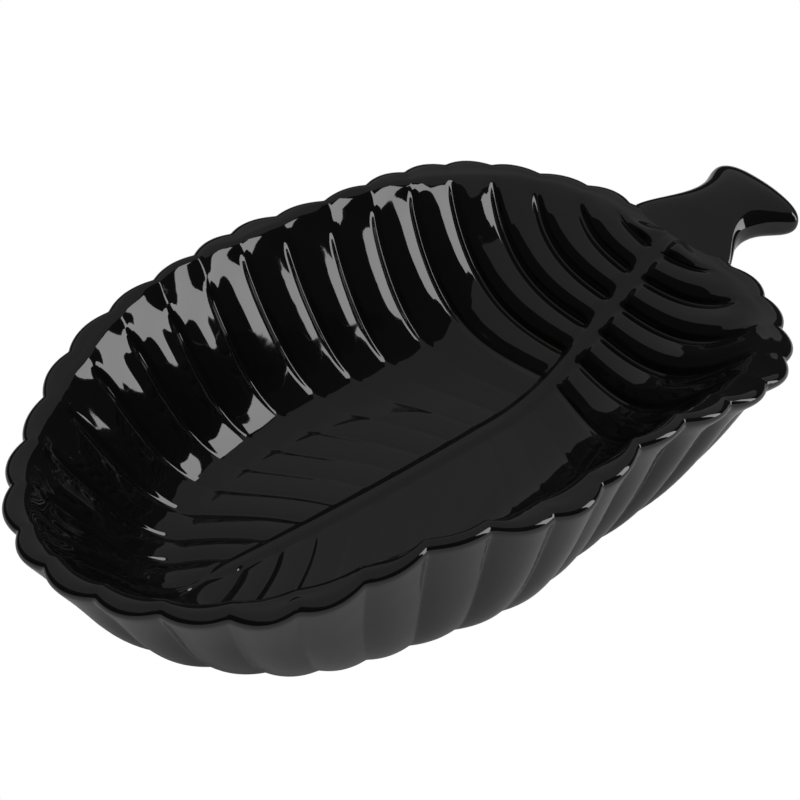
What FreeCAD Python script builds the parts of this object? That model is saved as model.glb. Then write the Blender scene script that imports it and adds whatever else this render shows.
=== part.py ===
import FreeCAD, Part
import math
import os

# Leaf-shaped serving bowl in glazed ceramic, fired as one rigid body.
# Millimetres. +X runs along the midrib towards the stem and +Z is up. The
# origin is on the resting plane, under the middle of the overall length.
# Everything is drawn about the middle of the rim line and moved at the end.

# ---- driving dimensions -------------------------------------------------
RIM_HALF_LENGTH = 158.2     # smooth rim line, middle to leaf tip
RIM_HALF_WIDTH = 101.3      # smooth rim line, middle to side
TIP_ROUNDNESS = 1.98        # superellipse exponent at the leaf tip
STEM_ROUNDNESS = 3.40       # superellipse exponent at the stem end
RIM_HEIGHT = 77.8           # mean height of the rim line
RIM_RISE = 7.0              # sides stand this much above the mean, ends below
RISE_START = 0.36           # sine of the angle where the rim starts to rise
RISE_SPAN = 0.52            # and the sine's change until it is at the top
RUFFLE_REACH = 0.031        # in and out wave of the rim, share of the radius
RUFFLE_DIP = 1.3            # the rim dips by this where it flares out
RUFFLE_PEAK = 1.62          # angle of the middle flare of each side
RUFFLE_RATE = 7.2           # waves per turn of the angle
RUFFLE_START = 0.25         # sine of the angle where the wave starts
RUFFLE_FADE = 0.4

SIDE_LOBES = 17             # rim lobes on each side, between tip and stem lobes
TIP_LOBE_HALF = 10.0        # half arc of the lobe at the leaf tip
STEM_LOBE_HALF = 32.0       # half arc of the stretch that carries the stem
LOBE_REACH = 3.4            # lobe top to notch, measured across the rim
LOBE_POWER = 0.75           # under 1 gives full round lobes and narrow notches
COLUMNS_PER_LOBE = 8
STEM_COLUMNS = 16
WALL_ROWS = 12

WALL = 5.0                  # thickness behind the rim
RIM_EDGE = 3.5              # inset where the wall turns into the rounded rim
RIM_NOSE = [(1.2, 0.4), (-1.6, -0.6), (-2.4, -3.0)]    # (inset, height over the rim line)
FLOOR_HALF_LENGTH = 74.0    # elliptical foot of the wall, inside
FLOOR_HALF_WIDTH = 44.0
FLOOR_MIDDLE_X = -27.0      # the floor lies towards the leaf tip
BASE_HALF_LENGTH = 85.3     # elliptical foot of the wall, outside
BASE_HALF_WIDTH = 60.8
BASE_MIDDLE_X = -13.4
SIDE_LIP = 2.0              # level lip before the wall drops, along the sides
STEM_LIP = 6.0              # the same at the stem end, which is a long ramp
LIP_TURN = 0.08             # share of the run over which the inside turns down
FOOT_TURN = 0.5             # share of the run over which it levels out again
LIP_ROUNDING = 0.08         # share of the run over which the outside turns down
OUTSIDE_POWER = 3.5         # over 1 makes a steep outside with a full round foot
FLOOR_RINGS = [0.5, 0.68, 0.85]     # rows on the floor, as shares of its ellipse
BASE_RINGS = [0.9, 0.8]             # rows on the flat base

FOOT_HEIGHT = 2.5           # standing ring under the base
FOOT_WIDTH = 6.0
FOOT_SETBACK = 3.0          # foot of the wall to the outside of the standing ring
FLOOR_HEIGHT = FOOT_HEIGHT + WALL

STEM_ROOT_X = 150.0         # inside the rim wall
STEM_END_X = 204.0
STEM_SHIFT_Y = -7.0         # the cut end sits a little to one side
STEM_ROOT_DROP = 3.5        # middle of the root under the rim line
STEM_END_RISE = 3.0         # middle of the cut end over the rim line
STEM_ARCH = 1.5             # upward bow between the two
STEM_ROOT_HALF_WIDTH = 29.0
STEM_END_HALF_WIDTH = 20.0
STEM_WAIST = 6.5            # half width lost at the waist
WAIST_REACH = 0.92          # share of the length where the flare is complete
STEM_ROOT_HALF_HEIGHT = 5.0
STEM_END_HALF_HEIGHT = 6.0
STEM_SQUARENESS = 0.8       # under 1 fills out the corners of the section
STEM_SECTIONS = 9
STEM_POINTS = 28

ORIGIN_X = 20.0             # middle of the rim line to the middle of the whole


def smooth(value):
    """Ease from 0 to 1 with level ends."""
    value = min(1.0, max(0.0, value))
    return value * value * (3.0 - 2.0 * value)


def mix(first, second, share):
    return first + (second - first) * share


# ---- rim line -----------------------------------------------------------
def ruffle(angle):
    """Slow wave of the rim: +1 where it flares out and dips."""
    strength = smooth((math.sin(angle) - RUFFLE_START) / RUFFLE_FADE)
    return math.cos((angle - RUFFLE_PEAK) * RUFFLE_RATE) * strength


def rim_plan(angle, waviness=1.0):
    """Point of the smooth rim line at 0..pi from the stem to the leaf tip."""
    cosine = math.cos(angle)
    sine = math.sin(angle)
    power = mix(TIP_ROUNDNESS, STEM_ROUNDNESS, smooth(cosine + 0.2))
    reach = abs(cosine / RIM_HALF_LENGTH) ** power + abs(sine / RIM_HALF_WIDTH) ** power
    radius = reach ** (-1.0 / power) * (1.0 + RUFFLE_REACH * waviness * ruffle(angle))
    return radius * cosine, radius * sine


def rim_height(angle):
    raised = smooth((math.sin(angle) - RISE_START) / RISE_SPAN)
    return RIM_HEIGHT - RIM_RISE + 2.0 * RIM_RISE * raised - RUFFLE_DIP * ruffle(angle)


def rim_arc_table(steps=4000):
    """Angles from the tip to the stem with the arc length run so far."""
    rows = []
    arc = 0.0
    before = rim_plan(math.pi)
    for index in range(steps + 1):
        angle = math.pi * (1.0 - index / steps)
        here = rim_plan(angle)
        arc += math.dist(before, here)
        rows.append((arc, angle))
        before = here
    return rows


def angle_at(arc, table):
    """Angle of the rim point that lies at an arc length from the tip."""
    low = 0
    high = len(table) - 1
    while high - low > 1:
        middle = (low + high) // 2
        if table[middle][0] <= arc:
            low = middle
        else:
            high = middle
    share = (arc - table[low][0]) / (table[high][0] - table[low][0])
    return mix(table[low][1], table[high][1], share)


def half_columns():
    """Columns from the tip to the stem: (angle, bulge of the lobe 0..1)."""
    table = rim_arc_table()
    half = table[-1][0]
    pitch = (half - TIP_LOBE_HALF - STEM_LOBE_HALF) / SIDE_LOBES
    columns = []
    for index in range(COLUMNS_PER_LOBE // 2):
        share = 2.0 * index / COLUMNS_PER_LOBE
        bulge = math.cos(math.pi * share / 2.0) ** LOBE_POWER
        columns.append((angle_at(TIP_LOBE_HALF * share, table), bulge))
    for index in range(SIDE_LOBES * COLUMNS_PER_LOBE):
        phase = index / COLUMNS_PER_LOBE
        bulge = abs(math.sin(math.pi * phase)) ** LOBE_POWER
        columns.append((angle_at(TIP_LOBE_HALF + phase * pitch, table), bulge))
    for index in range(STEM_COLUMNS // 2 + 1):
        share = 2.0 * index / STEM_COLUMNS
        arc = min(half, half - STEM_LOBE_HALF * (1.0 - share))
        columns.append((angle_at(arc, table), math.sin(math.pi * share / 2.0)))
    return columns


def all_columns():
    """Columns once round the leaf: (angle, side sign, bulge)."""
    half = half_columns()
    far = [(angle, 1.0, bulge) for angle, bulge in half]
    near = [(angle, -1.0, bulge) for angle, bulge in reversed(half[1:-1])]
    return far + near


# ---- meridian of the shell ---------------------------------------------
def turn_of(angle):
    """Ellipse parameter of the rim point at an angle."""
    rim_x, rim_y = rim_plan(angle, 0.0)
    return math.atan2(rim_y / RIM_HALF_WIDTH, rim_x / RIM_HALF_LENGTH)


def floor_plan(angle, scale=1.0):
    """Point of the floor ellipse that the inside wall runs down to."""
    turn = turn_of(angle)
    x = FLOOR_MIDDLE_X + scale * FLOOR_HALF_LENGTH * math.cos(turn)
    return x, scale * FLOOR_HALF_WIDTH * math.sin(turn)


def base_plan(angle, scale=1.0):
    """Point of the base ellipse that the outside wall runs down to."""
    turn = turn_of(angle)
    x = BASE_MIDDLE_X + scale * BASE_HALF_LENGTH * math.cos(turn)
    return x, scale * BASE_HALF_WIDTH * math.sin(turn)


def wall_run(angle, foot):
    """Plan distance from the rim line to the foot of the wall."""
    return math.dist(rim_plan(angle, 0.0), foot(angle))


def lip_width(angle):
    return mix(SIDE_LIP, STEM_LIP, smooth(math.cos(angle)))


def wall_drop(run):
    """Drop 0..1 along the run: turns down, runs straight, then levels out."""
    run = min(1.0, max(0.0, run))
    straight = 1.0 / (1.0 - (LIP_TURN + FOOT_TURN) / 2.0)
    if run < LIP_TURN:
        return straight * run * run / (2.0 * LIP_TURN)
    if run < 1.0 - FOOT_TURN:
        return straight * (run - LIP_TURN / 2.0)
    return 1.0 - straight * (1.0 - run) ** 2 / (2.0 * FOOT_TURN)


def inner_height(inset, angle):
    """Height of the inside face at a plan distance in from the rim line."""
    lip = lip_width(angle)
    run = (inset - lip) / (wall_run(angle, floor_plan) - lip)
    return mix(rim_height(angle), FLOOR_HEIGHT, wall_drop(run))


def guide_height(inset, angle):
    """Height of the line that the outside face follows, one wall away."""
    lip = lip_width(angle)
    run = (inset - lip) / (wall_run(angle, base_plan) - lip)
    run = min(1.0, max(0.0, run))
    run = run * run * (1.0 + LIP_ROUNDING) / (run + LIP_ROUNDING)
    drop = 1.0 - (1.0 - run) ** OUTSIDE_POWER
    return mix(rim_height(angle), FLOOR_HEIGHT, drop)


def outer_point(inset, angle):
    """A point of the guide line moved square to it by the wall thickness."""
    step = 0.5
    ahead = guide_height(inset + step, angle)
    slope = (guide_height(inset - step, angle) - ahead) / (2.0 * step)
    length = math.hypot(1.0, slope)
    return inset - WALL * slope / length, guide_height(inset, angle) - WALL / length


def wall_point(angle, side, bulge, row, foot):
    """A point of the wall: in from the rim line towards the foot, plus the lobe."""
    inset, height, lobe_share = row
    rim_x, rim_y = rim_plan(angle, lobe_share)
    foot_x, foot_y = foot(angle)
    share = inset / wall_run(angle, foot)
    normal_x = rim_x / RIM_HALF_LENGTH ** 2
    normal_y = rim_y / RIM_HALF_WIDTH ** 2
    reach = LOBE_REACH * bulge * lobe_share / math.hypot(normal_x, normal_y)
    x = mix(rim_x, foot_x, share) + reach * normal_x
    y = mix(rim_y, foot_y, share) + reach * normal_y
    return FreeCAD.Vector(x, side * y, height)


def wall_points(angle, side, bulge):
    """Points of one column over the rim, from the floor to the base."""
    shares = [index / WALL_ROWS for index in range(WALL_ROWS + 1)]
    points = []
    run = wall_run(angle, floor_plan)
    for share in reversed(shares):
        inset = mix(RIM_EDGE, run, share)
        row = (inset, inner_height(inset, angle), 1.0 - smooth(share))
        points.append(wall_point(angle, side, bulge, row, floor_plan))
    for inset, height in RIM_NOSE:
        row = (inset, rim_height(angle) + height, 1.0)
        points.append(wall_point(angle, side, bulge, row, base_plan))
    run = wall_run(angle, base_plan)
    for share in shares:
        inset, height = outer_point(mix(RIM_EDGE, run, share), angle)
        row = (inset, height, 1.0 - smooth(share))
        points.append(wall_point(angle, side, bulge, row, base_plan))
    return points


def ring_point(plan, angle, side, scale, height):
    """A point on the floor or the base, on a scaled ellipse."""
    x, y = plan(angle, scale)
    return FreeCAD.Vector(x, side * y, height)


# ---- solids -------------------------------------------------------------
def closed_surface(rows_of_columns):
    """Cubic surface, closed the first way round and clamped the other."""
    around = len(rows_of_columns)
    along = len(rows_of_columns[0])
    surface = Part.BSplineSurface()
    surface.buildFromPolesMultsKnots(
        rows_of_columns,
        [1] * (around + 1),
        [4] + [1] * (along - 4) + [4],
        [float(value) for value in range(around + 1)],
        [float(value) for value in range(along - 2)],
        True, False, 3, 3)
    return surface


def capped_solid(surface):
    """Close the two flat ends of a closed surface and make it a solid."""
    first, last = surface.bounds()[2:4]
    faces = [surface.toShape()]
    for value in (first, last):
        faces.append(Part.Face(Part.Wire([surface.vIso(value).toShape()])))
    shell = Part.Shell(faces)
    shell.sewShape()
    solid = Part.Solid(shell)
    solid.fix(1e-4, 1e-4, 1e-3)
    if solid.Volume < 0:
        solid.reverse()
    return solid


def leaf_bowl():
    """Lobed shell: inside face, rounded rim, outside face and flat base."""
    poles = []
    for angle, side, bulge in all_columns():
        column = [ring_point(floor_plan, angle, side, scale, FLOOR_HEIGHT)
                  for scale in FLOOR_RINGS]
        column += wall_points(angle, side, bulge)
        column += [ring_point(base_plan, angle, side, scale, FOOT_HEIGHT)
                   for scale in BASE_RINGS]
        poles.append(column)
    return capped_solid(closed_surface(poles))


def foot_disc(setback):
    """Solid ellipse as high as the standing ring, set in from the base ellipse."""
    ellipse = Part.Ellipse(FreeCAD.Vector(BASE_MIDDLE_X, 0, 0),
                           BASE_HALF_LENGTH - setback, BASE_HALF_WIDTH - setback)
    face = Part.Face(Part.Wire([ellipse.toShape()]))
    return face.extrude(FreeCAD.Vector(0, 0, FOOT_HEIGHT))


def foot_ring():
    """Bare clay standing ring that follows the foot of the wall."""
    return foot_disc(FOOT_SETBACK).cut(foot_disc(FOOT_SETBACK + FOOT_WIDTH)).Solids[0]


def stem_section(share):
    """One closed cross-section of the stem, square to X."""
    x = mix(STEM_ROOT_X, STEM_END_X, share)
    waist = math.sin(math.pi * min(1.0, share / WAIST_REACH))
    half_width = mix(STEM_ROOT_HALF_WIDTH, STEM_END_HALF_WIDTH, smooth(share)) - STEM_WAIST * waist
    half_height = mix(STEM_ROOT_HALF_HEIGHT, STEM_END_HALF_HEIGHT, share)
    middle_y = STEM_SHIFT_Y * smooth(share)
    rise = mix(-STEM_ROOT_DROP, STEM_END_RISE, smooth(share)) + STEM_ARCH * waist
    middle_z = rim_height(0.0) + rise
    points = []
    for index in range(STEM_POINTS):
        turn = 2.0 * math.pi * index / STEM_POINTS
        cosine = math.cos(turn)
        sine = math.sin(turn)
        y = middle_y + half_width * math.copysign(abs(cosine) ** STEM_SQUARENESS, cosine)
        z = middle_z + half_height * math.copysign(abs(sine) ** STEM_SQUARENESS, sine)
        points.append(FreeCAD.Vector(x, y, z))
    return points


def stem_handle(bowl):
    """Stubby twig with a flared cut end, seated on the rim wall."""
    sections = [stem_section(index / (STEM_SECTIONS - 1)) for index in range(STEM_SECTIONS)]
    poles = [list(column) for column in zip(*sections)]
    twig = capped_solid(closed_surface(poles))
    trimmed = twig.cut(bowl)
    pieces = sorted(trimmed.Solids, key=lambda piece: piece.Volume)
    return pieces[-1]


def main():
    os.makedirs("parts", exist_ok=True)
    bowl = leaf_bowl()
    shapes = {
        "leaf_bowl": bowl,
        "stem_handle": stem_handle(bowl),
        "foot_ring": foot_ring(),
    }
    for name, shape in shapes.items():
        shape.translate(FreeCAD.Vector(-ORIGIN_X, 0, 0))
        box = shape.BoundBox
        print(name, shape.ShapeType, "valid", shape.isValid(), "volume", round(shape.Volume),
              "box", [round(value, 1) for value in (box.XMin, box.XMax, box.YMin, box.YMax,
                                                    box.ZMin, box.ZMax)])
        shape.exportStep(os.path.join("parts", name + ".step"))


main()
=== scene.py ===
import math

import bpy
import numpy as np
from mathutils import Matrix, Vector


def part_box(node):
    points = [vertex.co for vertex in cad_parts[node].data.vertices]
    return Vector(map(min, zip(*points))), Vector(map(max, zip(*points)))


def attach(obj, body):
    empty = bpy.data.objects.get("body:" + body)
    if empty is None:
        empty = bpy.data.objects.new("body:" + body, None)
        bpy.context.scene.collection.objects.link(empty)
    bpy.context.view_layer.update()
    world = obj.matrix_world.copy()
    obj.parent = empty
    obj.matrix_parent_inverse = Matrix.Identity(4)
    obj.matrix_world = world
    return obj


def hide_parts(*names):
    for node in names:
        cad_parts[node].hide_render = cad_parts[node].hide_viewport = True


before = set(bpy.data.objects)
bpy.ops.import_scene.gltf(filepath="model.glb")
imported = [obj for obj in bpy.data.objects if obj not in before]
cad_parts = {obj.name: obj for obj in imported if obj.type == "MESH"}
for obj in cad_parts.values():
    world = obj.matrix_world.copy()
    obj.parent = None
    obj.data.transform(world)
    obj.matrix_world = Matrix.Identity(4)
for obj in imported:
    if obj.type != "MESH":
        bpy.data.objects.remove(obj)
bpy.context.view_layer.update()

# Leaf-shaped, black glazed serving bowl with a twig stem. Shapes are worked out in
# millimetres about the middle of the rim line, with +X towards the stem and Z up
# from the table. They go into the meshes in metres, in the CAD frame.

MM = 0.001

# ---- sizes that match the CAD model -------------------------------------
RIM_HALF_LENGTH = 158.2
RIM_HALF_WIDTH = 101.3
TIP_ROUNDNESS = 1.98
STEM_ROUNDNESS = 3.4
ROUNDNESS_SHIFT = 0.2
RIM_HEIGHT = 77.8
RIM_RISE = 7.0
RISE_START = 0.36
RISE_SPAN = 0.52
RUFFLE_REACH = 0.031
RUFFLE_DIP = 1.3
RUFFLE_PEAK = 1.62
RUFFLE_RATE = 7.2
RUFFLE_START = 0.25
RUFFLE_FADE = 0.4
SIDE_LOBES = 17
TIP_LOBE_HALF = 10.0
STEM_LOBE_HALF = 32.0
LOBE_REACH = 3.4
LOBE_POWER = 0.75
WALL = 5.0
RIM_EDGE = 3.5
FLOOR_HALF_LENGTH = 74.0
FLOOR_HALF_WIDTH = 44.0
FLOOR_MIDDLE_X = -27.0
BASE_HALF_LENGTH = 85.3
BASE_HALF_WIDTH = 60.8
BASE_MIDDLE_X = -13.4
SIDE_LIP = 2.0
STEM_LIP = 6.0
LIP_TURN = 0.08
FOOT_TURN = 0.5
LIP_ROUNDING = 0.08
OUTSIDE_POWER = 3.5
FOOT_HEIGHT = 2.5
FLOOR_HEIGHT = FOOT_HEIGHT + WALL

# ---- sizes of the visible shapes only ------------------------------------
LOBE_SOFTNESS = 0.10        # rounds the notches between the lobes
INSIDE_LOBES = 0.4          # share of the lobes' reach that shows inside
LOBE_FADE = 40.0            # way down the inside over which the lobes fade
FLOOR_DISH = 2.5            # rise of the floor from its middle to its edge
DISH_FADE = 0.6             # and how soon it is lost in the wall, in floor radii

# veins: where they meet the midrib, and how they run there from the rim
VEIN_FIRST_X = -97.6
VEIN_STEP = 18.52           # along the midrib from one vein to the next
VEIN_SLOWING = 0.273        # the step gets shorter towards the stem
VEIN_STRETCH = 0.162
VEIN_STRETCH_FROM = 11.0    # from this lobe on it gets shorter less quickly
VEIN_TILT = 52.0            # degrees between the veins and the midrib, growing
VEIN_TILT_STEP = 2.46       # by this for each lobe
VEIN_TILT_FADE = 1.5        # lobes at the tip over which it grows from nothing
VEIN_LEAVE = 1.33           # pull into the bowl at the rim, as a share of the gap
VEIN_LEAVE_STEP = 0.033
VEIN_ARRIVE = 0.79          # pull along the tilt at the midrib, the same way
VEIN_ARRIVE_STEP = 0.030

# relief between the veins; lobes are counted from the leaf tip
WALL_START = 5.0            # height over the floor where the wall's relief starts
WALL_BLEND = 26.0
FLOOR_RELIEF = 0.14
FLOOR_TIP_RELIEF = 0.7
FLOOR_TIP_LOBES = 5.0
FLOOR_STEM_RELIEF = 1.6
FLOOR_STEM_FROM = 10.5
WALL_RELIEF = 1.25
WALL_STEM_RELIEF = 0.8
WALL_STEM_FROM = 10.0
STEM_RELIEF_LOBES = 4.0
RELIEF_START = 3.0          # way down from the rim where the relief starts
RELIEF_FADE = 16.0
FLOOR_GROOVE = 2.4          # half widths of the vein grooves
WALL_GROOVE = 3.0
CROWN = 0.9                 # height of the fields against the grooves' depth

# midrib; its widths are measured along the veins
RIB_HEIGHT = 1.4
RIB_FLAT = 1.5              # half width of its top
RIB_SIDE = 4.2              # width of its flank
RIB_CLEAR = 2.0             # the relief starts this far from the middle
RIB_CLEAR_FADE = 6.0
RIB_TIP_X = -98.0
RIB_TIP_FADE = 12.0
RIB_STEM_X = 96.0
RIB_STEM_FADE = 26.0

# rim and outside; the nose is (inset, height over the rim line)
RIM_NOSE = ((2.6, 0.25), (1.0, 0.3), (-1.5, -0.4), (-2.7, -2.6), (-1.6, -5.4))
NOSE_REACH = 12.0           # inset over which square to the rim gives way to the run
OUTSIDE_START = 0.10        # share of the wall's run where the wall takes over
OUTSIDE_GUIDES = 12
BASE_RINGS = (0.93, 0.86)
UNDERSIDE_RINGS = (0.75, 0.5, 0.25)

# twig: x, middle y, middle z over the rim at the stem, half width, half height
TWIG_STATIONS = (
    (138.0, 0.0, -15.0, 22.0, 5.0), (145.0, 0.0, -11.5, 27.0, 6.5),
    (153.0, 0.0, -8.0, 31.0, 7.5), (161.0, 0.0, -4.5, 31.0, 8.5),
    (169.0, -1.5, 0.5, 23.0, 9.5), (178.0, -3.5, 4.0, 18.0, 10.0),
    (187.0, -5.5, 6.0, 19.0, 11.0), (195.0, -7.0, 6.5, 26.0, 12.0),
    (200.5, -7.5, 6.0, 25.0, 11.0), (203.0, -7.5, 5.5, 18.0, 8.0),
    (203.6, -7.5, 5.5, 4.0, 2.0))
TWIG_SQUARENESS = 0.85      # under 1 fills out the corners of the section
KNOB_DEPTH = 0.05
KNOBS = 3.0
KNOB_TWIST = 9.0            # millimetres along the twig per radian of their phase

foot_low, foot_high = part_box("foot_ring")
MIDDLE_X = (foot_low[0] + foot_high[0]) / 2.0 - BASE_MIDDLE_X * MM

# ---- mesh density -------------------------------------------------------
COLUMNS_PER_LOBE = 20
TIP_COLUMNS = 8
STEM_COLUMNS = 29
NOTCH_CROWDING = 0.5
TIP_CROWDING = 0.8
STEM_CROWDING = 1.3
INSIDE_ROWS = 130
OUTSIDE_ROWS = 56
TWIG_SIDES = 72
TWIG_ROWS = 90
ANGLE_STEP = 1e-4
SOLVE_ROUNDS = 30
SOLVE_LIMIT = 0.2           # largest change of a solved value in one round
SMALL = 1e-6
TINY = 1e-12


def smooth(value):
    value = np.clip(value, 0.0, 1.0)
    return value * value * (3.0 - 2.0 * value)


def mix(first, second, share):
    return first + (second - first) * share


# ---- rim line -----------------------------------------------------------
def ruffle(angle):
    strength = smooth((np.sin(angle) - RUFFLE_START) / RUFFLE_FADE)
    return np.cos((angle - RUFFLE_PEAK) * RUFFLE_RATE) * strength


def rim_plan(angle, waviness=1.0):
    cosine = np.cos(angle)
    sine = np.sin(angle)
    power = mix(TIP_ROUNDNESS, STEM_ROUNDNESS, smooth(cosine + ROUNDNESS_SHIFT))
    along = np.abs(cosine / RIM_HALF_LENGTH) ** power
    reach = along + np.abs(sine / RIM_HALF_WIDTH) ** power
    radius = reach ** (-1.0 / power) * (1.0 + RUFFLE_REACH * waviness * ruffle(angle))
    return radius * cosine, radius * sine


def rim_height(angle):
    raised = smooth((np.sin(angle) - RISE_START) / RISE_SPAN)
    return RIM_HEIGHT - RIM_RISE + 2.0 * RIM_RISE * raised - RUFFLE_DIP * ruffle(angle)


def turn_of(angle):
    rim_x, rim_y = rim_plan(angle, 0.0)
    return np.arctan2(rim_y / RIM_HALF_WIDTH, rim_x / RIM_HALF_LENGTH)


def floor_plan(angle):
    turn = turn_of(angle)
    x = FLOOR_MIDDLE_X + FLOOR_HALF_LENGTH * np.cos(turn)
    return x, FLOOR_HALF_WIDTH * np.sin(turn)


def base_plan(angle, scale=1.0):
    turn = turn_of(angle)
    x = BASE_MIDDLE_X + scale * BASE_HALF_LENGTH * np.cos(turn)
    return x, scale * BASE_HALF_WIDTH * np.sin(turn)


def wall_run(angle, foot):
    rim_x, rim_y = rim_plan(angle, 0.0)
    foot_x, foot_y = foot(angle)
    return np.hypot(rim_x - foot_x, rim_y - foot_y)


def lip_width(angle):
    return mix(SIDE_LIP, STEM_LIP, smooth(np.cos(angle)))


def wall_drop(run):
    """Drop 0..1 along the run: turns down, runs straight, then levels out."""
    run = np.clip(run, 0.0, 1.0)
    straight = 1.0 / (1.0 - (LIP_TURN + FOOT_TURN) / 2.0)
    turning = straight * run * run / (2.0 * LIP_TURN)
    running = straight * (run - LIP_TURN / 2.0)
    levelling = 1.0 - straight * (1.0 - run) ** 2 / (2.0 * FOOT_TURN)
    lower = np.where(run < 1.0 - FOOT_TURN, running, levelling)
    return np.where(run < LIP_TURN, turning, lower)


def inner_height(inset, angle):
    lip = lip_width(angle)
    run = (inset - lip) / (wall_run(angle, floor_plan) - lip)
    return mix(rim_height(angle), FLOOR_HEIGHT, wall_drop(run))


def guide_height(inset, angle):
    lip = lip_width(angle)
    run = (inset - lip) / (wall_run(angle, base_plan) - lip)
    run = np.clip(run, 0.0, 1.0)
    run = run * run * (1.0 + LIP_ROUNDING) / (run + LIP_ROUNDING)
    drop = 1.0 - (1.0 - run) ** OUTSIDE_POWER
    return mix(rim_height(angle), FLOOR_HEIGHT, drop)


# ---- columns: c counts lobes from the leaf tip to the stem ---------------
ARC_ANGLES = math.pi * (1.0 - np.linspace(0.0, 1.0, 8001))
arc_x, arc_y = rim_plan(ARC_ANGLES)
ARCS = np.concatenate([[0.0], np.cumsum(np.hypot(np.diff(arc_x), np.diff(arc_y)))])
PITCH = (ARCS[-1] - TIP_LOBE_HALF - STEM_LOBE_HALF) / SIDE_LOBES
FIRST = -TIP_LOBE_HALF / PITCH
LAST = SIDE_LOBES + STEM_LOBE_HALF / PITCH


def column_counts():
    """Lobe counts of the columns, closer together beside each notch."""
    steps = np.arange(SIDE_LOBES * COLUMNS_PER_LOBE) / COLUMNS_PER_LOBE
    side = steps - NOTCH_CROWDING * np.sin(2.0 * math.pi * steps) / (2.0 * math.pi)
    tip = FIRST * (1.0 - np.linspace(0.0, 1.0, TIP_COLUMNS + 1)[:-1] ** TIP_CROWDING)
    spread = np.linspace(0.0, 1.0, STEM_COLUMNS) ** STEM_CROWDING
    stem = SIDE_LOBES + (LAST - SIDE_LOBES) * spread
    return np.concatenate([tip, side, stem])


def angle_of(count):
    arc = np.clip(TIP_LOBE_HALF + count * PITCH, 0.0, ARCS[-1])
    return np.interp(arc, ARCS, ARC_ANGLES)


def bulge_of(count):
    """How far the rim stands out: least at a notch, about 1 at the top of a lobe."""
    soft = LOBE_SOFTNESS ** 2
    half_power = LOBE_POWER / 2.0
    side = (np.sin(math.pi * count) ** 2 + soft) ** half_power
    tip_share = np.clip(1.0 - count / FIRST, 0.0, 1.0)
    tip = (np.cos(0.5 * math.pi * tip_share) ** 2 + soft) ** half_power
    stem_turn = 0.5 * math.pi * (count - SIDE_LOBES) / (LAST - SIDE_LOBES)
    stem = np.sin(stem_turn) + LOBE_SOFTNESS
    return np.where(count < 0.0, tip, np.where(count > SIDE_LOBES, stem, side))


def junction(count):
    """Plan point of the midrib, which lies at Y = 0, where a rim count's vein ends."""
    late = np.maximum(0.0, count - VEIN_STRETCH_FROM)
    x = VEIN_FIRST_X + VEIN_STEP * count - VEIN_SLOWING * count ** 2 + VEIN_STRETCH * late ** 2
    return x, np.zeros_like(x)


def inward(angle):
    """Unit plan direction square to the rim line, into the bowl."""
    ahead_x, ahead_y = rim_plan(np.minimum(angle + ANGLE_STEP, math.pi), 0.0)
    back_x, back_y = rim_plan(np.maximum(angle - ANGLE_STEP, 0.0), 0.0)
    run_x = ahead_x - back_x
    run_y = ahead_y - back_y
    length = np.hypot(run_x, run_y)
    return -run_y / length, run_x / length


# ---- smooth bowl ---------------------------------------------------------
def base_height(x, y):
    """Height of the smooth inside at a plan point, with the floor slightly dished.

    The point is share of the way from the rim line, at angle, to the floor's edge.
    """
    y = np.abs(y)
    reach = np.hypot(x / RIM_HALF_LENGTH, y / RIM_HALF_WIDTH)
    share = np.clip(1.0 - (reach - 0.5) * 2.0, 0.0, 1.0)
    angle = np.arctan2(y / RIM_HALF_WIDTH, (x - share * FLOOR_MIDDLE_X) / RIM_HALF_LENGTH)
    angle = np.arctan2(np.sin(angle) * RIM_HALF_WIDTH, np.cos(angle) * RIM_HALF_LENGTH)
    for _ in range(SOLVE_ROUNDS):
        rim_x, rim_y = rim_plan(angle, 0.0)
        floor_x, floor_y = floor_plan(angle)
        rim_x2, rim_y2 = rim_plan(angle + ANGLE_STEP, 0.0)
        floor_x2, floor_y2 = floor_plan(angle + ANGLE_STEP)
        here_x = mix(rim_x, floor_x, share)
        here_y = mix(rim_y, floor_y, share)
        turn_x = (mix(rim_x2, floor_x2, share) - here_x) / ANGLE_STEP
        turn_y = (mix(rim_y2, floor_y2, share) - here_y) / ANGLE_STEP
        fall_x = floor_x - rim_x
        fall_y = floor_y - rim_y
        miss_x = x - here_x
        miss_y = y - here_y
        det = turn_x * fall_y - turn_y * fall_x
        det = np.where(np.abs(det) < SMALL, -SMALL, det)
        d_angle = (miss_x * fall_y - miss_y * fall_x) / det
        d_share = (turn_x * miss_y - turn_y * miss_x) / det
        angle = np.clip(angle + np.clip(d_angle, -SOLVE_LIMIT, SOLVE_LIMIT), 0.0, math.pi)
        share = np.clip(share + np.clip(d_share, -SOLVE_LIMIT, SOLVE_LIMIT), -0.2, 1.3)
    height = inner_height(share * wall_run(angle, floor_plan), angle)
    radius = np.hypot((x - FLOOR_MIDDLE_X) / FLOOR_HALF_LENGTH, y / FLOOR_HALF_WIDTH)
    height = np.where(radius < 1.0, FLOOR_HEIGHT, height)
    dish = FLOOR_DISH * np.minimum(radius, 1.0) ** 2
    return height + dish * (1.0 - smooth((radius - 1.0) / DISH_FADE))


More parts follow.
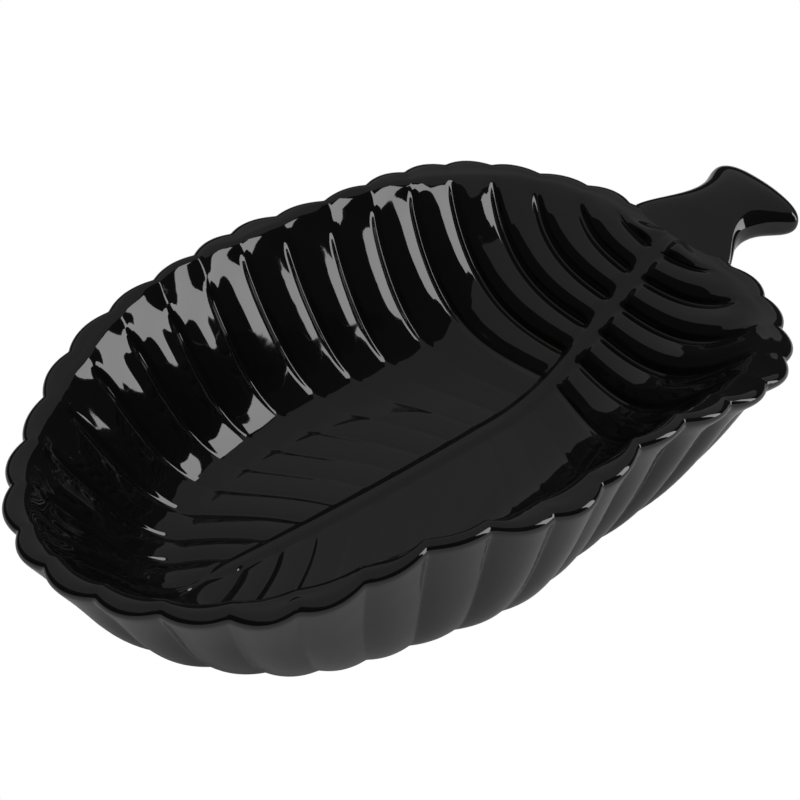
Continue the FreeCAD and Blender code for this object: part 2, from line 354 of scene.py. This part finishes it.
# ---- inside face ---------------------------------------------------------
def vein_lines(count, side):
    """Plan points from the rim edge (first row) to the midrib (last row)."""
    angle = angle_of(count)
    rim_x, rim_y = rim_plan(angle)
    in_x, in_y = inward(angle)
    start_x = rim_x + RIM_EDGE * in_x
    start_y = side * (rim_y + RIM_EDGE * in_y)
    end_x, end_y = junction(count)
    floor_x, floor_y = floor_plan(angle)
    to_x = floor_x - rim_x
    to_y = floor_y - rim_y
    to_length = np.hypot(to_x, to_y)
    lead_x = in_x + to_x / to_length
    lead_y = side * (in_y + to_y / to_length)
    lead = np.hypot(lead_x, lead_y)
    tilt_fade = smooth((count - FIRST) / VEIN_TILT_FADE)
    tilt = np.radians((VEIN_TILT + VEIN_TILT_STEP * count) * tilt_fade)
    gap = np.hypot(start_x - end_x, start_y - end_y)
    leave = gap * (VEIN_LEAVE - VEIN_LEAVE_STEP * count)
    arrive = gap * (VEIN_ARRIVE + VEIN_ARRIVE_STEP * count)
    s = np.linspace(0.0, 1.0, INSIDE_ROWS)[:, None]
    h00 = 2.0 * s ** 3 - 3.0 * s ** 2 + 1.0
    h10 = s ** 3 - 2.0 * s ** 2 + s
    h01 = 3.0 * s ** 2 - 2.0 * s ** 3
    h11 = s ** 3 - s ** 2
    x = (h00 * start_x + h10 * leave * lead_x / lead + h01 * end_x
         + h11 * arrive * np.cos(tilt))
    y = (h00 * start_y + h10 * leave * lead_y / lead + h01 * end_y
         - h11 * arrive * side * np.sin(tilt))
    return x, y


def inside_face(count, side):
    """Rows of points (row, column, xyz) of the inside on one side of the midrib."""
    angle = angle_of(count)
    x, y = vein_lines(count, side)
    z = base_height(x, y)
    points = np.stack([x, y, z], axis=-1)

    # face normal of the smooth bowl
    along = np.gradient(points, axis=0)
    across = np.gradient(points, axis=1)
    normal = np.cross(along, across) * side
    normal /= np.linalg.norm(normal, axis=-1, keepdims=True) + TINY
    normal *= np.sign(normal[..., 2:3])

    # distance from the nearest vein, square to it
    along_unit = along / (np.linalg.norm(along, axis=-1, keepdims=True) + TINY)
    spacing = np.gradient(count)
    per_count = across / spacing[None, :, None]
    square = np.linalg.norm(np.cross(per_count, along_unit), axis=-1)
    nearest = np.abs(count - np.clip(np.round(count), 0, SIDE_LOBES))
    vein_gap = nearest[None, :] * square

    from_rim = np.concatenate([np.zeros((1, x.shape[1])), np.cumsum(
        np.linalg.norm(np.diff(points, axis=0), axis=-1), axis=0)])
    to_rib = from_rim[-1:] - from_rim

    wall_share = smooth((z - FLOOR_HEIGHT - WALL_START) / WALL_BLEND)
    at_tip = 1.0 - smooth(count / FLOOR_TIP_LOBES)
    floor_stem = smooth((count - FLOOR_STEM_FROM) / STEM_RELIEF_LOBES)
    wall_stem = smooth((count - WALL_STEM_FROM) / STEM_RELIEF_LOBES)
    floor_relief = FLOOR_RELIEF + FLOOR_TIP_RELIEF * at_tip + FLOOR_STEM_RELIEF * floor_stem
    wall_relief = WALL_RELIEF + WALL_STEM_RELIEF * wall_stem
    relief = mix(floor_relief[None, :], wall_relief[None, :], wall_share)
    fade_in = smooth((from_rim - RELIEF_START) / RELIEF_FADE)
    groove_half = mix(FLOOR_GROOVE, WALL_GROOVE, wall_share)
    groove = 1.0 - smooth(vein_gap / groove_half)
    phase = count - np.floor(count)
    crown = np.sin(math.pi * phase) ** 2
    crown = np.where((count < 0.0) | (count > SIDE_LOBES), 1.0, crown)
    lift = relief * fade_in * (CROWN * crown[None, :] - groove)

    # the raised midrib
    stem_fade = 1.0 - smooth((x - RIB_STEM_X) / RIB_STEM_FADE)
    rib_fade = smooth((x - RIB_TIP_X) / RIB_TIP_FADE) * stem_fade
    rib = smooth(1.0 - (to_rib - RIB_FLAT) / RIB_SIDE)
    clear = smooth((to_rib - RIB_CLEAR) / RIB_CLEAR_FADE)
    lift = lift * clear + RIB_HEIGHT * rib * rib_fade

    points = points + normal * lift[..., None]

    # lobes stand out at the rim and fade into the wall
    in_x, in_y = inward(angle)
    lobe = INSIDE_LOBES * LOBE_REACH * bulge_of(count)[None, :]
    lobe = lobe * (1.0 - smooth(from_rim / LOBE_FADE))
    points[..., 0] -= lobe * in_x
    points[..., 1] -= lobe * side * in_y
    return points


# ---- rim and outside face ------------------------------------------------
def outer_point(inset, angle):
    step = 0.5
    ahead = guide_height(inset + step, angle)
    slope = (guide_height(inset - step, angle) - ahead) / (2.0 * step)
    length = np.hypot(1.0, slope)
    return inset - WALL * slope / length, guide_height(inset, angle) - WALL / length


def b_spline(control, rows):
    """Points along a clamped uniform cubic spline guided by rows of control points."""
    count = len(control)
    knots = np.concatenate([[0.0] * 3, np.arange(count - 2), [count - 3.0] * 3])
    u = np.linspace(0.0, count - 3.0, rows)
    u[-1] -= 1e-9
    spans = range(len(knots) - 1)
    basis = np.array([(knots[i] <= u) & (u < knots[i + 1]) for i in spans], float)
    for degree in range(1, 4):
        grown = []
        for i in range(len(basis) - 1):
            left = knots[i + degree] - knots[i]
            right = knots[i + degree + 1] - knots[i + 1]
            value = np.zeros_like(u)
            if left > 0:
                value += (u - knots[i]) / left * basis[i]
            if right > 0:
                value += (knots[i + degree + 1] - u) / right * basis[i + 1]
            grown.append(value)
        basis = np.array(grown)
    return np.einsum("ir,ic...->rc...", basis, control)


def outside_face(count, side, first_row):
    """Rows over the rim and down the outside onto the base.

    The first of them is first_row, which the inside already has, so it is left out.
    """
    angle = angle_of(count)
    bulge = bulge_of(count)
    run = wall_run(angle, base_plan)
    top = rim_height(angle)
    rows = [(np.full_like(angle, inset), top + over, 1.0) for inset, over in RIM_NOSE]
    for share in np.linspace(OUTSIDE_START, 1.0, OUTSIDE_GUIDES):
        inset, height = outer_point(mix(RIM_EDGE, run, share), angle)
        rows.append((inset, height, 1.0 - smooth(share)))
    control = [first_row]
    in_x, in_y = inward(angle)
    for inset, height, lobe_share in rows:
        rim_x, rim_y = rim_plan(angle, lobe_share)
        foot_x, foot_y = base_plan(angle)
        share = inset / run
        reach = LOBE_REACH * bulge * lobe_share
        near_rim = smooth(1.0 - np.abs(inset) / NOSE_REACH)
        straight_x = rim_x + inset * in_x
        straight_y = rim_y + inset * in_y
        x = mix(mix(rim_x, foot_x, share), straight_x, near_rim) - reach * in_x
        y = mix(mix(rim_y, foot_y, share), straight_y, near_rim) - reach * in_y
        control.append(np.stack([x, side * y, height], axis=-1))
    for scale in BASE_RINGS:
        x, y = base_plan(angle, scale)
        control.append(np.stack([x, side * y, np.full_like(x, FOOT_HEIGHT)], axis=-1))
    return b_spline(np.array(control), OUTSIDE_ROWS)[1:]


# ---- mesh building -------------------------------------------------------
def to_frame(points):
    points = np.asarray(points, float) * MM
    points[..., 0] += MIDDLE_X
    return points


def mesh_object(name, points, faces, material):
    mesh = bpy.data.meshes.new(name)
    mesh.from_pydata([tuple(point) for point in points], [], faces)
    mesh.validate()
    mesh.materials.append(material)
    for polygon in mesh.polygons:
        polygon.use_smooth = True
    mesh.update()
    thing = bpy.data.objects.new(name, mesh)
    bpy.context.scene.collection.objects.link(thing)
    return thing


def dish_mesh():
    """Vertices and faces of the whole shell, with both sides joined."""
    count = column_counts()
    halves = []
    for side in (1.0, -1.0):
        inside = inside_face(count, side)
        outside = outside_face(count, side, inside[0])
        halves.append(np.concatenate([inside[::-1], outside]))
    far, near = halves
    row_count, column_count = far.shape[:2]
    # the first row is the midrib, shared; so are the tip and stem columns
    rib = (far[0] + near[0]) / 2.0
    seam_first = (far[:, 0] + near[:, 0]) / 2.0
    seam_last = (far[:, -1] + near[:, -1]) / 2.0
    for half in halves:
        half[0] = rib
        half[:, 0] = seam_first
        half[:, -1] = seam_last
    index_far = np.arange(row_count * column_count).reshape(row_count, column_count)
    index_near = index_far.copy()
    start = index_far.size
    inner = np.arange((row_count - 1) * (column_count - 2)).reshape(
        row_count - 1, column_count - 2) + start
    index_near[1:, 1:-1] = inner
    points = np.concatenate([far.reshape(-1, 3), near[1:, 1:-1].reshape(-1, 3)])
    faces = []
    for index, flip in ((index_far, False), (index_near, True)):
        a = index[:-1, :-1].ravel()
        b = index[:-1, 1:].ravel()
        c = index[1:, 1:].ravel()
        d = index[1:, :-1].ravel()
        quads = np.stack([a, d, c, b] if flip else [a, b, c, d], axis=1)
        faces += quads.tolist()
    # flat underside: rings towards the middle, then a fan
    ring = list(index_far[-1]) + list(index_near[-1][1:-1][::-1])
    middle = np.array([BASE_MIDDLE_X, 0.0, FOOT_HEIGHT])
    previous = ring
    extra = []
    for scale in UNDERSIDE_RINGS:
        base = len(points) + len(extra)
        ring_points = [mix(middle, points[i], scale) for i in ring]
        extra += ring_points
        current = list(range(base, base + len(ring)))
        for k in range(len(ring)):
            n = (k + 1) % len(ring)
            faces.append((previous[k], previous[n], current[n], current[k]))
        previous = current
    centre = len(points) + len(extra)
    extra.append(middle)
    for k in range(len(ring)):
        n = (k + 1) % len(ring)
        faces.append((previous[k], previous[n], centre))
    points = np.concatenate([points, np.array(extra)])
    return points, faces


def twig_mesh():
    """Stem: closed sections square to X from inside the rim to the flared cut end."""
    turn = np.linspace(0.0, 2.0 * math.pi, TWIG_SIDES, endpoint=False)
    across = np.sign(np.cos(turn)) * np.abs(np.cos(turn)) ** TWIG_SQUARENESS
    rise = np.sign(np.sin(turn)) * np.abs(np.sin(turn)) ** TWIG_SQUARENESS
    rim_z = rim_height(0.0)
    control = []
    for x, middle_y, middle_z, half_width, half_height in TWIG_STATIONS:
        knobs = 1.0 + KNOB_DEPTH * np.cos(KNOBS * turn + x / KNOB_TWIST)
        section_y = middle_y + half_width * knobs * across
        section_z = rim_z + middle_z + half_height * knobs * rise
        control.append(np.stack([np.full(TWIG_SIDES, x), section_y, section_z], axis=-1))
    rows = b_spline(np.array(control), TWIG_ROWS)
    points = rows.reshape(-1, 3)
    faces = []
    for row in range(TWIG_ROWS - 1):
        for k in range(TWIG_SIDES):
            n = (k + 1) % TWIG_SIDES
            low = row * TWIG_SIDES
            high = low + TWIG_SIDES
            faces.append((low + k, low + n, high + n, high + k))
    faces.append(tuple(range(TWIG_SIDES))[::-1])
    last = (TWIG_ROWS - 1) * TWIG_SIDES
    faces.append(tuple(last + k for k in range(TWIG_SIDES)))
    return points, faces


# ---- materials -----------------------------------------------------------
def new_material(name):
    material = bpy.data.materials.new(name)
    material.use_nodes = True
    nodes = material.node_tree.nodes
    shader = nodes.get("Principled BSDF")
    return material, nodes, material.node_tree.links, shader


def add_noise(nodes, links, scale, detail):
    """Output of a noise laid over the object's own coordinates."""
    where = nodes.new("ShaderNodeTexCoord")
    noise = nodes.new("ShaderNodeTexNoise")
    noise.inputs["Scale"].default_value = scale
    noise.inputs["Detail"].default_value = detail
    links.new(where.outputs["Object"], noise.inputs["Vector"])
    return noise.outputs["Fac"]


def add_colours(nodes, links, noise, shader, stops):
    """Colour the shader by the noise, between two (position, colour) stops."""
    ramp = nodes.new("ShaderNodeValToRGB")
    for element, (position, colour) in zip(ramp.color_ramp.elements, stops):
        element.position = position
        element.color = (*colour, 1.0)
    links.new(noise, ramp.inputs["Fac"])
    links.new(ramp.outputs["Color"], shader.inputs["Base Color"])


def add_bump(nodes, links, noise, shader, strength, distance):
    bump = nodes.new("ShaderNodeBump")
    bump.inputs["Strength"].default_value = strength
    bump.inputs["Distance"].default_value = distance
    links.new(noise, bump.inputs["Height"])
    links.new(bump.outputs["Normal"], shader.inputs["Normal"])


def black_glaze():
    material, nodes, links, shader = new_material("black_glaze")
    shader.inputs["IOR"].default_value = 1.53
    cloud = add_noise(nodes, links, scale=26.0, detail=4.0)
    add_colours(nodes, links, cloud, shader,
                ((0.0, (0.0022, 0.0022, 0.0024)), (1.0, (0.0045, 0.0043, 0.0040))))
    rough = nodes.new("ShaderNodeMapRange")
    rough.inputs["To Min"].default_value = 0.030
    rough.inputs["To Max"].default_value = 0.055
    links.new(cloud, rough.inputs["Value"])
    links.new(rough.outputs["Result"], shader.inputs["Roughness"])
    ripple = add_noise(nodes, links, scale=60.0, detail=2.0)
    add_bump(nodes, links, ripple, shader, strength=0.35, distance=0.0004)
    return material


def bare_clay():
    material, nodes, links, shader = new_material("bare_clay")
    shader.inputs["Roughness"].default_value = 0.85
    grain = add_noise(nodes, links, scale=900.0, detail=6.0)
    add_colours(nodes, links, grain, shader,
                ((0.3, (0.50, 0.44, 0.36)), (0.7, (0.74, 0.68, 0.59))))
    add_bump(nodes, links, grain, shader, strength=0.4, distance=0.0003)
    return material


def dress(node, material):
    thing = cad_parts[node]
    if thing.material_slots:
        for entry in thing.material_slots:
            entry.material = material
    else:
        thing.data.materials.append(material)


GLAZE = black_glaze()
CLAY = bare_clay()

points, faces = dish_mesh()
dish = mesh_object("leaf_dish", to_frame(points), faces, GLAZE)
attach(dish, "root")
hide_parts("leaf_bowl")
twig_points, twig_faces = twig_mesh()
twig = mesh_object("twig", to_frame(twig_points), twig_faces, GLAZE)
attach(twig, "root")
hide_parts("stem_handle")
dress("foot_ring", CLAY)


# ---- stage, light and camera ----------------------------------------------
STAGE_SIZE = 12.0
TABLE_HEIGHT = -0.0004
SHEET_HEIGHT = -0.0002
WORLD_SEEN = 1.0
WORLD_LIGHT = 0.03
AIM = (0.0, 0.0, 0.03)
ELEVATION = math.radians(41.38)
AZIMUTH = math.radians(36.89)
DISTANCE = 0.5
TARGET = np.array([-0.0365, -0.0222, 0.0778])
SENSOR_WIDTH = 36.0
LENS = 59.175


def level_sheet(name, height, grey, glows=False):
    """A square level sheet of the stage, centred under the bowl."""
    half = STAGE_SIZE / 2.0
    corners = [(u * half, v * half, height) for u, v in ((-1, -1), (1, -1), (1, 1), (-1, 1))]
    mesh = bpy.data.meshes.new(name)
    mesh.from_pydata(corners, [], [(0, 1, 2, 3)])
    material, nodes, links, shader = new_material(name)
    if glows:
        glow = nodes.new("ShaderNodeEmission")
        glow.inputs["Color"].default_value = (grey, grey, grey, 1.0)
        glow.inputs["Strength"].default_value = 1.0
        links.new(glow.outputs["Emission"], nodes.get("Material Output").inputs["Surface"])
    else:
        shader.inputs["Base Color"].default_value = (grey, grey, grey, 1.0)
        shader.inputs["Roughness"].default_value = 0.9
        shader.inputs["Specular IOR Level"].default_value = 0.0
    mesh.materials.append(material)
    thing = bpy.data.objects.new(name, mesh)
    bpy.context.scene.collection.objects.link(thing)
    return thing


# the table takes light and shadow unseen; the sheet is the white that shows
table = level_sheet("table", TABLE_HEIGHT, 0.62)
table.visible_camera = False
sheet = level_sheet("white_sheet", SHEET_HEIGHT, 1.0, glows=True)
sheet.visible_glossy = False
sheet.visible_diffuse = False
sheet.visible_shadow = False

scene = bpy.context.scene
scene.view_settings.view_transform = "Standard"

world = bpy.data.worlds.new("studio")
scene.world = world
world.use_nodes = True
tree = world.node_tree
tree.nodes.clear()
path = tree.nodes.new("ShaderNodeLightPath")
blend = tree.nodes.new("ShaderNodeMixShader")
out = tree.nodes.new("ShaderNodeOutputWorld")
tree.links.new(path.outputs["Is Camera Ray"], blend.inputs[0])
for socket, strength in ((1, WORLD_LIGHT), (2, WORLD_SEEN)):
    white = tree.nodes.new("ShaderNodeBackground")
    white.inputs["Color"].default_value = (1.0, 1.0, 1.0, 1.0)
    white.inputs["Strength"].default_value = strength
    tree.links.new(white.outputs[0], blend.inputs[socket])
tree.links.new(blend.outputs[0], out.inputs["Surface"])


def area_light(name, centre, aim, width, height, radiance, glossy=True):
    """A rectangular light, set by its radiance: power / (area * pi)."""
    data = bpy.data.lights.new(name, "AREA")
    data.shape = "RECTANGLE"
    data.size = width
    data.size_y = height
    data.energy = radiance * width * height * math.pi
    thing = bpy.data.objects.new(name, data)
    thing.location = centre
    direction = Vector(aim) - Vector(centre)
    thing.rotation_euler = direction.to_track_quat("-Z", "Y").to_euler()
    thing.visible_camera = False
    thing.visible_glossy = glossy
    scene.collection.objects.link(thing)


area_light("ceiling", (1.4, 1.9, 2.6), (1.4, 1.9, 0.0),
           width=7.0, height=7.4, radiance=0.27)
area_light("softbox", (1.36, -1.46, 0.86), AIM,
           width=0.66, height=1.7, radiance=4.9)
area_light("floor_fill", (0.0, 0.0, 3.5), (0.0, 0.0, 0.0),
           width=6.0, height=6.0, radiance=1.2, glossy=False)

forward = np.array([math.cos(ELEVATION) * math.sin(AZIMUTH),
                    math.cos(ELEVATION) * math.cos(AZIMUTH),
                    -math.sin(ELEVATION)])
eye = TARGET - DISTANCE * forward
camera_data = bpy.data.cameras.new("camera")
camera_data.sensor_width = SENSOR_WIDTH
camera_data.lens = LENS
camera_data.clip_start = 0.01
camera = bpy.data.objects.new("camera", camera_data)
camera.location = eye
camera.rotation_euler = Vector(forward).to_track_quat("-Z", "Y").to_euler()
scene.collection.objects.link(camera)
scene.camera = camera
